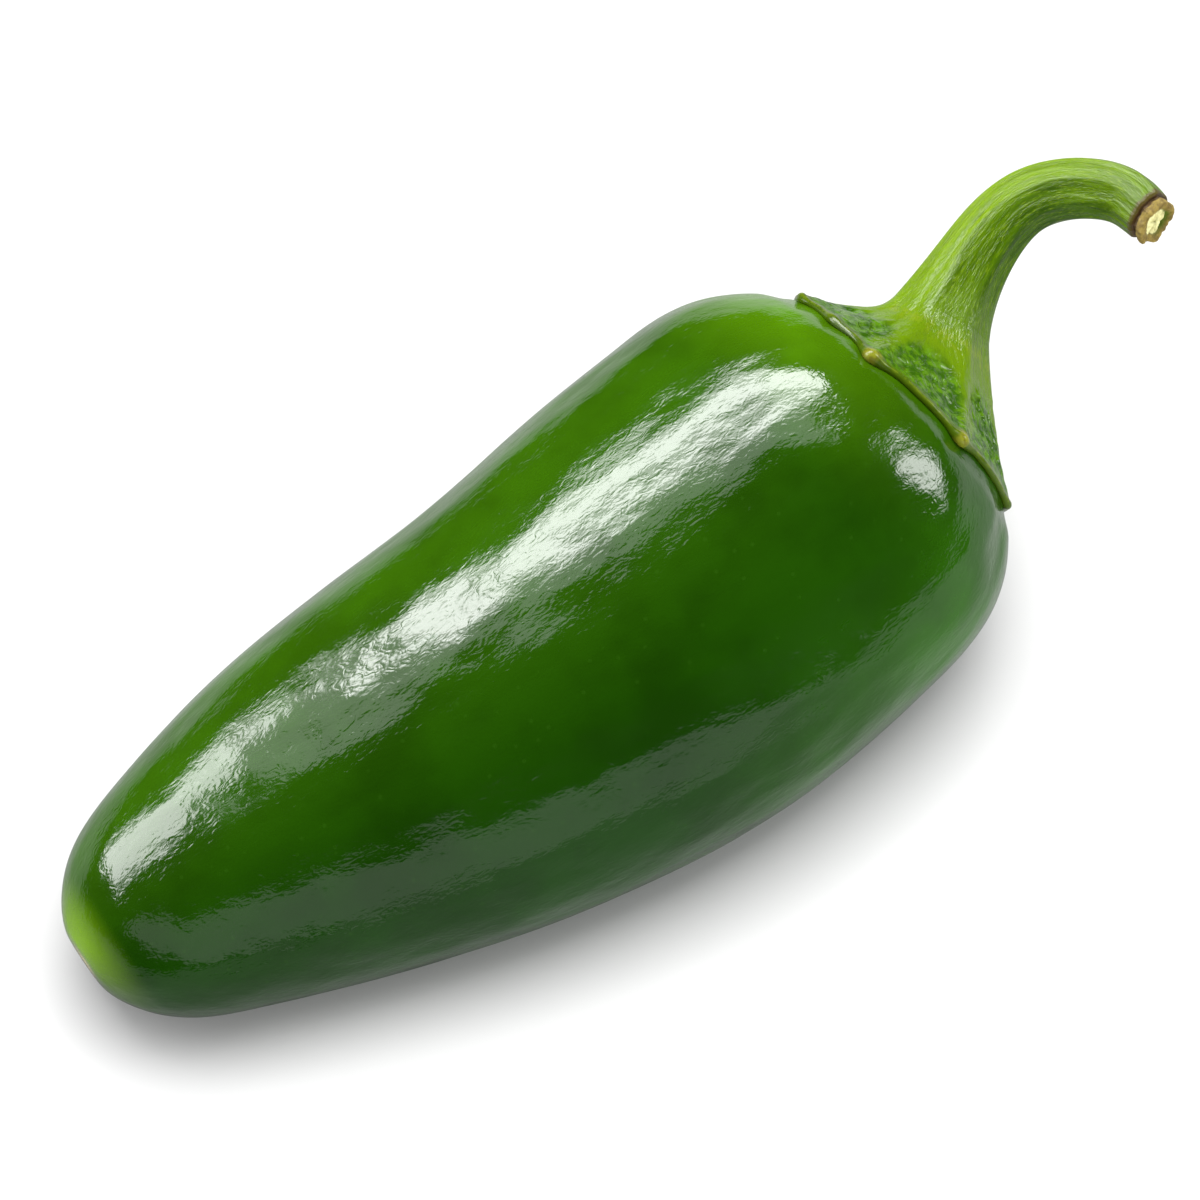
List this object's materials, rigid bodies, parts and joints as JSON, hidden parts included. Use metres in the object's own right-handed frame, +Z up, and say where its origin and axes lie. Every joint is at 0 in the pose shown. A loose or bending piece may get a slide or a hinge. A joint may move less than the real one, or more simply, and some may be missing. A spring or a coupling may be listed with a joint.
{
  "type": "chilli pepper",
  "caption": "Fresh green chilli pepper, picked whole and lying on its side: a blunt glossy pod, a ribbed calyx with a knobbed rim, and a hooked stem.",
  "frame": {"origin": "on the surface that the pepper lies on, under the middle of its bounding box", "axes": "+X along the pod from its tip towards its stem, +Z up, +Y on the side that the stem first leans to"},
  "size_m": [0.1004, 0.0365, 0.0357],
  "materials": {
    "pod_skin": "dark green waxy skin, glossy, with fine wrinkles that break up its highlights",
    "calyx_skin": "mid green, wrinkled, with lighter ribs and a yellow-green rolled rim with tan knobs",
    "stem_skin": "yellow-green and satin, with lengthwise ridges and pale streaks, and a tan corky cut end"
  },
  "bodies": {
    "root": {"pod": "pod_skin", "calyx": "calyx_skin", "stem": "stem_skin"}
  },
  "joints": []
}
